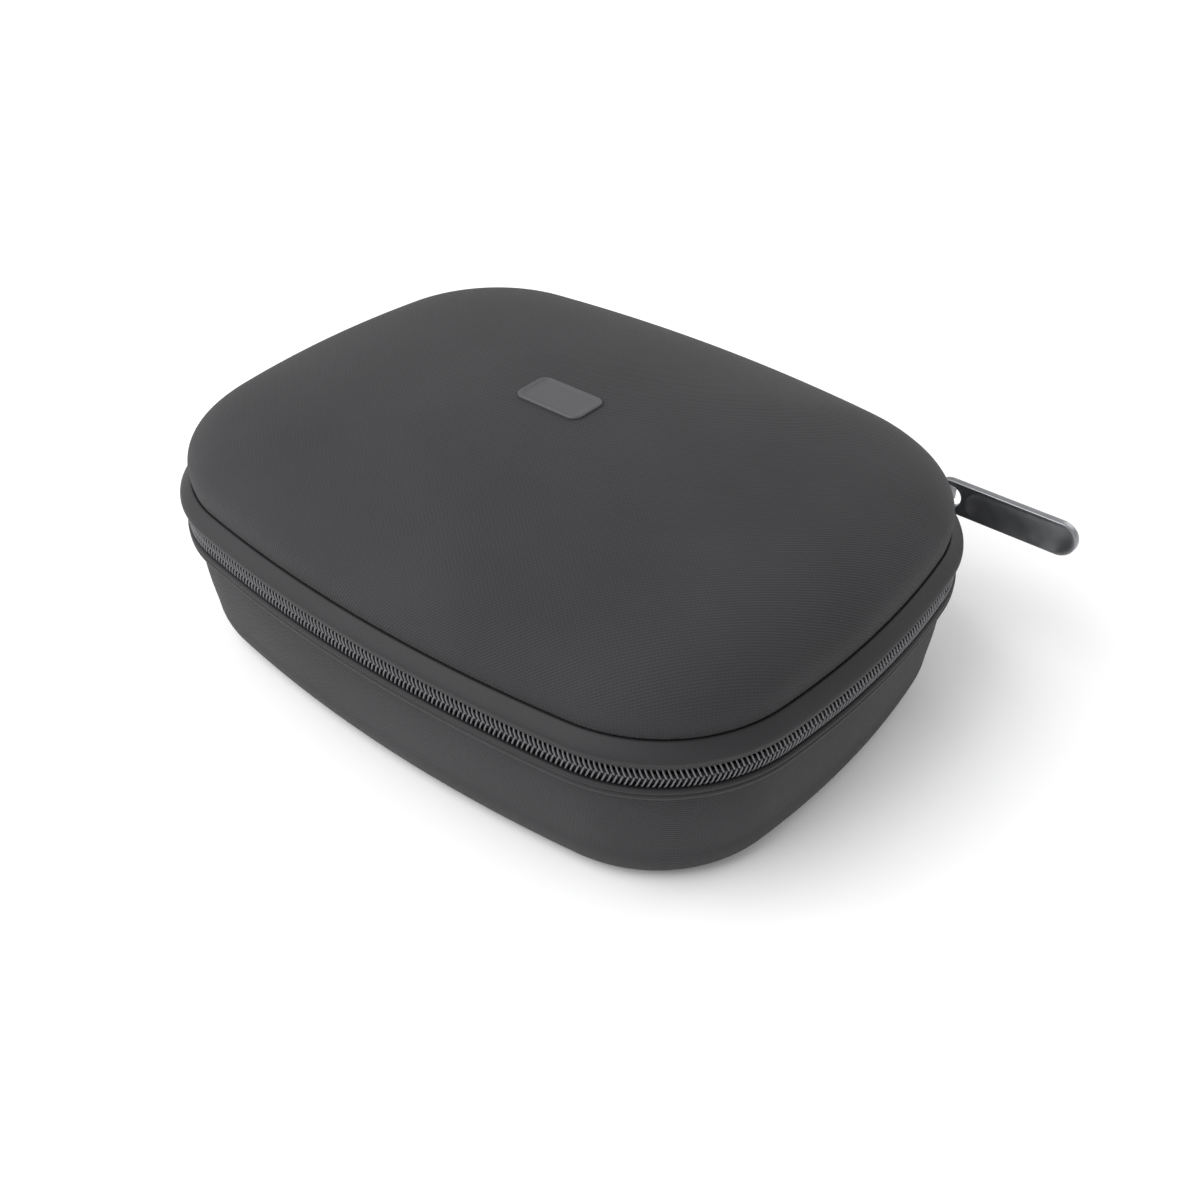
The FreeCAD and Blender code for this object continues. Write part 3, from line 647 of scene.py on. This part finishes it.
badge_rings = [np.concatenate([plate_ring(BADGE_LENGTH, BADGE_WIDTH, BADGE_CORNER, inset,
                                          BADGE_ROUND),
                               np.full((BADGE_ROUND, 1), height)], -1)
               for inset, height in BADGE_RINGS]
badge_points = np.stack([badge_rings[0] * (0, 0, 1)] + badge_rings
                        + [badge_rings[-1] * (0, 0, 1)]) * MM
grid_piece("lid_badge_plate", badge_points,
           np.zeros((len(badge_points), BADGE_ROUND + 1, 2)), False, True,
           rubber, "lid", "badge_rubber", ["lid_badge"])

# ---------------------------------------------------------------- inner bindings
# Grosgrain tape folded over the raw edges of shell, lining and zipper tape and sewn down
# with one row of stitches.

BINDING_FAR = WALL_INSET + WALL_DEPTH
LID_BINDING_FAR = TAPE_BACK + 2.0
BASE_BINDING_TOP, LID_BINDING_FOOT = -4.7, 4.7
CORNER_SHARE = 0.3


def binding_rows(near, far, low, high, ease=0.45):
    """Flat section with rounded edges."""
    corner = ease * CORNER_SHARE
    return ring_rows([(near, low), (near, high - ease), (near + corner, high - corner),
                      (near + ease, high), (far - ease, high), (far - corner, high - corner),
                      (far, high - ease), (far, low)])


# Polyester grosgrain: firm cross ribs about 1 mm apart.
grosgrain = woven("polyester grosgrain", "#454547", "#303032", 1.0, 0.0, 0.9, 0.8, 0.08,
                  cross=0.1)
band_piece("base_binding_tape",
           binding_rows(TAPE_BACK, BINDING_FAR, -LOWER_TAPE_END, BASE_BINDING_TOP),
           grosgrain, "base", "binding", ["base_inner_binding"])
band_piece("lid_binding_tape",
           binding_rows(TAPE_BACK, LID_BINDING_FAR, LID_BINDING_FOOT, UPPER_TAPE_END),
           grosgrain, "lid", "binding", ["lid_inner_binding"])

# ---------------------------------------------------------------- binding stitches
# Bonded polyester thread in a straight lockstitch along the middle of each binding.

STITCH_PITCH, STITCH_LENGTH, STITCH_RADIUS = 3.0, 2.2, 0.22
STITCH_SIDES = 5
STITCH_SHAPE = np.array([(-1.0, 0.3, -0.8), (-0.8, 0.9, 0.3), (0.0, 1.0, 0.6), (0.8, 0.9, 0.3),
                         (1.0, 0.3, -0.8)])


# Bonded polyester thread: twisted, slightly shiny.
thread, tree = new_material("bonded polyester thread")
spot = node(tree, "ShaderNodeTexCoord").outputs["Object"]
ply = node(tree, "ShaderNodeTexNoise", {"Vector": spot, "Scale": 1800.0}).outputs["Fac"]
tint = node(tree, "ShaderNodeMix", {"Factor": ply, "A": colour("#3a3a3c"),
                                    "B": colour("#5a5a5c")}, data_type="RGBA")
skin = node(tree, "ShaderNodeBsdfPrincipled", {"Base Color": tint.outputs["Result"],
                                               "Roughness": 0.6, "Sheen Weight": 0.1})
node(tree, "ShaderNodeOutputMaterial", {"Surface": skin.outputs["BSDF"]})


def stitch_row(name, inset, height, up, body):
    """Row of stitches: a short tube that dips at both ends, copied at every pitch."""
    count = int(np.interp(FULL_TURN, KNOTS, RUN) / STITCH_PITCH)
    turn = turns(0.0, FULL_TURN, count + 1)[:-1]
    spots, facing = outline(turn)
    path = np.stack([-facing[:, 1], facing[:, 0]], -1)
    angle = np.arange(STITCH_SIDES) * FULL_TURN / STITCH_SIDES
    along = (STITCH_SHAPE[:, :1] * STITCH_LENGTH / 2) + 0 * angle
    side = STITCH_RADIUS * STITCH_SHAPE[:, 1:2] * np.cos(angle)
    lift = STITCH_RADIUS * (STITCH_SHAPE[:, 1:2] * np.sin(angle) + STITCH_SHAPE[:, 2:3])
    plan = (spots[:, None, None] - (inset + side)[None, ..., None] * facing[:, None, None]
            + along[None, ..., None] * path[:, None, None])
    level = np.broadcast_to(height + up * lift, plan.shape[:-1])
    points = np.concatenate([plan, level[..., None]], -1) * MM
    faces = tube_faces(count, len(STITCH_SHAPE), STITCH_SIDES)
    corners = np.zeros((sum(len(face) for face in faces), 2))
    return add_piece(name, points, faces, corners, thread, body, "binding", [])


stitch_row("base_binding_stitches", (TAPE_BACK + BINDING_FAR) / 2, ZIP + BASE_BINDING_TOP,
           1, "base")
stitch_row("lid_binding_stitches", (TAPE_BACK + LID_BINDING_FAR) / 2, ZIP + LID_BINDING_FOOT,
           -1, "lid")

# ---------------------------------------------------------------- net pocket
# Knitted net stretched across the lid's back half and sewn in round the edge, a little
# slack in the middle.  Its meshes are 3.2 mm from corner to corner.

NET_CELL = 1.6
NET_STRAND = 0.62
NET_EDGE_INSET = CREASE_INSET + WALL_DEPTH + 0.3
NET_BACK_GAP = 0.4
NET_HEIGHT = ZIP + CREASE + 1.8
NET_SAG = 1.6
POCKET_MOUTH = -14.0


def net_half_width(place_y):
    """Half width of the pocket at a place across the case, from the set-in outline."""
    turn = turns(-np.pi / 2, np.pi / 2, 600)
    spots, facing = outline(turn)
    edge = spots - NET_EDGE_INSET * facing
    return np.interp(place_y, edge[:, 1], edge[:, 0])


net_back = float(outline(np.array([np.pi / 2]))[0][0, 1]) - NET_EDGE_INSET - NET_BACK_GAP
net_depth = net_back - POCKET_MOUTH
columns = int(2 * net_half_width(0.0) / NET_CELL) // 2 * 2
rows_down = int(net_depth / NET_CELL) // 2 * 2
u = np.linspace(-1.0, 1.0, columns + 1)[None, :]
v = np.linspace(0.0, 1.0, rows_down + 1)[:, None]
net_y = POCKET_MOUTH + net_depth * v + 0 * u
net_x = net_half_width(net_y) * u
slack = NET_SAG * (1 - u ** 2) * np.sin(np.pi * (0.15 + 0.85 * v))
net_points = np.stack([net_x, net_y, NET_HEIGHT - slack], -1) * MM
i, j = [grid.ravel() for grid in np.broadcast_arrays(np.arange(rows_down + 1)[:, None],
                                                     np.arange(columns + 1)[None, :])]
inner = (i > 0) & (i < rows_down) & (j > 0) & (j < columns) & ((i + j) % 2 == 1)
i, j = i[inner], j[inner]
wide = columns + 1
diamonds = np.stack([(i - 1) * wide + j, i * wide + j + 1, (i + 1) * wide + j,
                     i * wide + j - 1], -1)
net_mesh = bpy.data.meshes.new("pocket_net")
net_mesh.from_pydata(net_points.reshape(-1, 3).tolist(), [], diamonds.tolist())
work = bmesh.new()
work.from_mesh(net_mesh)
bmesh.ops.delete(work, geom=[vert for vert in work.verts if not vert.link_faces],
                 context="VERTS")
bmesh.ops.wireframe(work, faces=work.faces, thickness=NET_STRAND * MM, use_replace=True,
                    use_even_offset=False, use_boundary=True)
bmesh.ops.recalc_face_normals(work, faces=work.faces)
if work.calc_volume(signed=True) < 0:
    bmesh.ops.reverse_faces(work, faces=work.faces)
work.to_mesh(net_mesh)
work.free()

# Knitted polyamide net: soft matt strands with a slight shine.
strand, tree = new_material("knitted polyamide net")
spot = node(tree, "ShaderNodeTexCoord").outputs["Object"]
fibre = node(tree, "ShaderNodeTexNoise", {"Vector": spot, "Scale": 1500.0}).outputs["Fac"]
tint = node(tree, "ShaderNodeMix", {"Factor": fibre, "A": colour("#3c3c3e"),
                                    "B": colour("#58585a")}, data_type="RGBA")
twist = node(tree, "ShaderNodeBump", {"Height": fibre, "Strength": 0.4, "Distance": 0.0001})
skin = node(tree, "ShaderNodeBsdfPrincipled",
            {"Base Color": tint.outputs["Result"], "Roughness": 0.7, "Sheen Weight": 0.1,
             "Normal": twist.outputs["Normal"]})
node(tree, "ShaderNodeOutputMaterial", {"Surface": skin.outputs["BSDF"]})
net_mesh.materials.append(strand)
net_mesh.shade_smooth()
net = bpy.data.objects.new("pocket_net", net_mesh)
bpy.context.scene.collection.objects.link(net)
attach(net, "lid")
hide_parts("mesh_pocket")

# ---------------------------------------------------------------- pocket elastic
# Ribbed elastic sewn along the pocket's mouth.  It is sewn on stretched, so it gathers
# into small ripples along its length.

ELASTIC_WIDTH, ELASTIC_THICK = 7.0, 1.6
ELASTIC_STEPS, ELASTIC_POINTS = 360, 36
GATHER_PITCH, GATHER_DEPTH = 4.2, 0.16
RIB_COUNT, RIB_DEPTH = 5, 0.12
ELASTIC_SQUARENESS, ELASTIC_END_GAP, RIPPLE_ROOM = 0.45, 0.6, 0.28

u = np.linspace(-1.0, 1.0, ELASTIC_STEPS)[None, :]
angle = (np.arange(ELASTIC_POINTS) * FULL_TURN / ELASTIC_POINTS)[:, None]
reach_y = np.sign(np.cos(angle)) * np.abs(np.cos(angle)) ** ELASTIC_SQUARENESS
reach_z = np.sign(np.sin(angle)) * np.abs(np.sin(angle)) ** ELASTIC_SQUARENESS
elastic_y = POCKET_MOUTH - ELASTIC_WIDTH / 2 + reach_y * ELASTIC_WIDTH / 2 + 0 * u
mouth_half = net_half_width(np.full((1, 1), POCKET_MOUTH)) - ELASTIC_END_GAP
elastic_x = mouth_half * u + 0 * angle
gather = GATHER_DEPTH * np.sin(FULL_TURN * elastic_x / GATHER_PITCH)
ribs = RIB_DEPTH * np.cos(np.pi * RIB_COUNT * reach_y)
elastic_z = NET_HEIGHT + gather + reach_z * (ELASTIC_THICK / 2 - RIPPLE_ROOM + ribs)
elastic_points = np.stack([elastic_x, elastic_y, elastic_z], -1) * MM
elastic_weave = np.zeros((ELASTIC_POINTS + 1, ELASTIC_STEPS, 2))
elastic_weave[..., 0] = elastic_x[0] * MM
elastic_weave[..., 1] = np.linspace(0, 2 * ELASTIC_WIDTH * MM, ELASTIC_POINTS + 1)[:, None]
# Knitted elastic: rubber cores in polyester, in firm ribs.
elastic_cloth = woven("ribbed elastic", "#434345", "#2c2c2e", 0.9, 90.0, 0.6, 0.75, 0.1)
elastic = grid_piece("pocket_elastic_band", elastic_points, elastic_weave, True, False,
                     elastic_cloth, "lid", "elastic", ["pocket_elastic"])

# ---------------------------------------------------------------- cloth hinge
# Two strips of cloth join the halves along the back: coated fabric outside and knit
# inside.

HINGE_END_X, HINGE_STEPS, HINGE_LEVELS = 60.0, 160, 14


def hinge_strip(name, inset, thick, half, material, slot, stands_for):
    """Upright strip along the back: a thin section with many levels."""
    level = np.linspace(-half, half, HINGE_LEVELS)
    profile = [(inset, step) for step in level] + [(inset + thick, step)
                                                   for step in level[::-1]]
    end = math.asin(HINGE_END_X / (LONG_R - inset))
    turn = turns(np.pi / 2 - end, np.pi / 2 + end, HINGE_STEPS)
    points = swept(turn, ring_rows(profile))
    piece = grid_piece(name, points, strip_weave(points, turn, False), True, False,
                       material, None, slot, stands_for)
    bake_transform(piece)
    return piece


hinge_strip("hinge_outer_cloth", 1.4, 1.0, 3.0, coated, "rim_fabric", ["hinge_cloth"])
hinge_strip("hinge_inner_knit", 4.2, 0.9, 4.4, knit, "lining_fabric", ["hinge_lining"])

# ---------------------------------------------------------------- metal parts
# Die-cast zinc slider with its crown, and the tape's end clamps, all with a dark gunmetal
# plating.  Edges are tumbled round before plating.


def plated_zinc():
    """Gunmetal plating over tumbled zinc: satin metal with soft hammered unevenness."""
    material, tree = new_material("gunmetal plated zinc")
    spot = node(tree, "ShaderNodeTexCoord").outputs["Object"]
    haze = node(tree, "ShaderNodeTexNoise", {"Vector": spot, "Scale": 260.0,
                                             "Detail": 4.0}).outputs["Fac"]
    tint = node(tree, "ShaderNodeMix", {"Factor": haze, "A": colour("#838487"),
                                        "B": colour("#97989b")}, data_type="RGBA")
    rough = node(tree, "ShaderNodeMapRange", {"Value": haze, "To Min": 0.3, "To Max": 0.46})
    tumbled = node(tree, "ShaderNodeBump", {"Height": haze, "Strength": 0.12,
                                            "Distance": 0.0002})
    metal = node(tree, "ShaderNodeBsdfPrincipled",
                 {"Base Color": tint.outputs["Result"], "Metallic": 1.0,
                  "Roughness": rough.outputs["Result"], "Normal": tumbled.outputs["Normal"]})
    node(tree, "ShaderNodeOutputMaterial", {"Surface": metal.outputs["BSDF"]})
    return material


zinc = plated_zinc()


def tumbled_copy(cad_node, name, body, ease):
    """The CAD part's own shape with its edges rounded: loose triangles are joined, flat
    faces are merged, and every sharp edge gets a narrow round."""
    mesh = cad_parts[cad_node].data.copy()
    mesh.name = name
    work = bmesh.new()
    work.from_mesh(mesh)
    bmesh.ops.remove_doubles(work, verts=work.verts, dist=1e-6)
    bmesh.ops.dissolve_limit(work, angle_limit=math.radians(1.0), verts=work.verts,
                             edges=work.edges)
    work.to_mesh(mesh)
    work.free()
    mesh.shade_smooth()
    mesh.materials.clear()
    mesh.materials.append(zinc)
    piece = bpy.data.objects.new(name, mesh)
    bpy.context.scene.collection.objects.link(piece)
    rounding = piece.modifiers.new("tumbled edges", "BEVEL")
    rounding.width = ease * MM
    rounding.segments = 3
    rounding.limit_method = "ANGLE"
    rounding.angle_limit = math.radians(35)
    rounding.harden_normals = True
    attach(piece, body)
    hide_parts(cad_node)
    return piece


tumbled_copy("slider_body", "slider_cast", "slider", 0.25)
for half, body in (("upper", "lid"), ("lower", "base")):
    for side in ("left", "right"):
        tumbled_copy(f"{half}_stop_{side}", f"{half}_clamp_{side}", body, 0.2)

# ---------------------------------------------------------------- zip pull
# Flat pull cast in the same zinc, with a round eye that hangs in the slider's crown.  One
# face is a smooth hollow inside a raised rim, where a thumb presses.

PULL_LENGTH, PULL_HEIGHT, PULL_THICK = 44.0, 10.5, 2.4
PULL_REACH, PULL_PARK = 51.8, math.radians(70.0)
EYE_OFFSET, EYE_RADIUS = 4.4, 3.5
HOLLOW_START, HOLLOW_BORDER, HOLLOW_DEPTH = 9.5, 1.1, 0.55
PULL_EASE, EASE_STEPS = 0.45, 6
PULL_AROUND, PULL_ACROSS = 280, 46


def stadium(inset):
    """Outline of the plate from the eye's middle: even steps round two straight sides and
    two half circles, each point its arc's middle plus the radius times its facing."""
    radius, straight = PULL_HEIGHT / 2, PULL_LENGTH - PULL_HEIGHT
    bend = np.pi * radius
    run = np.cumsum([0.0, straight, bend, straight, bend])
    place = np.linspace(0.0, run[-1], PULL_AROUND + 1)[:-1]
    turn = np.interp(place, run, np.pi * np.array([-0.5, -0.5, 0.5, 0.5, 1.5]))
    middle = np.interp(place, run, [0.0, straight, straight, 0.0, 0.0])
    facing = np.stack([np.cos(turn), np.sin(turn)], -1)
    return np.stack([middle, 0 * middle], -1) + (radius - inset) * facing


def eye_ring(outset):
    """Edge of the eye, each point in the direction of the same point of the outline."""
    way = stadium(0.0)
    return way / np.linalg.norm(way, axis=-1, keepdims=True) * (EYE_RADIUS + outset)


def hollow(plan):
    """Depth of the thumb hollow: a parabola of the distance from the plate's long axis."""
    radius = PULL_HEIGHT / 2 - HOLLOW_BORDER
    near = HOLLOW_START - EYE_OFFSET + radius
    past = plan[..., 0] - np.clip(plan[..., 0], near, PULL_LENGTH - PULL_HEIGHT)
    share = np.clip(np.hypot(past, plan[..., 1]) / radius, 0.0, 1.0)
    return HOLLOW_DEPTH * (1 - share ** 2)


round_over = np.linspace(0.0, np.pi / 2, EASE_STEPS)
ease_in = PULL_EASE * (1 - np.cos(round_over))
ease_up = PULL_THICK / 2 - PULL_EASE + PULL_EASE * np.sin(round_over)
across = np.linspace(0.0, 1.0, PULL_ACROSS)[1:-1, None, None]
face = eye_ring(PULL_EASE) + across * (stadium(PULL_EASE) - eye_ring(PULL_EASE))
eye_edge = np.stack([eye_ring(step) for step in ease_in])
rim_edge = np.stack([stadium(step) for step in ease_in])
half_plan = np.concatenate([eye_edge, face, rim_edge[::-1]])
half_lift = np.concatenate([np.repeat(ease_up[:, None], PULL_AROUND, 1),
                            PULL_THICK / 2 + 0 * face[..., 0],
                            np.repeat(ease_up[::-1, None], PULL_AROUND, 1)])
pull_plan = np.concatenate([half_plan, half_plan[::-1]])
pull_lift = np.concatenate([half_lift - hollow(half_plan), -half_lift[::-1]])
eye_x = CORNER_X + PULL_REACH * math.cos(PULL_PARK) + EYE_OFFSET
pull_points = np.stack([eye_x + pull_plan[..., 0],
                        CORNER_Y + PULL_REACH * math.sin(PULL_PARK) - pull_lift,
                        ZIP + pull_plan[..., 1]], -1) * MM
grid_piece("pull_plate", pull_points,
           np.zeros((len(pull_points) + 1, PULL_AROUND + 1, 2)), True, True,
           zinc, "pull", "zip_metal", ["zip_pull"])
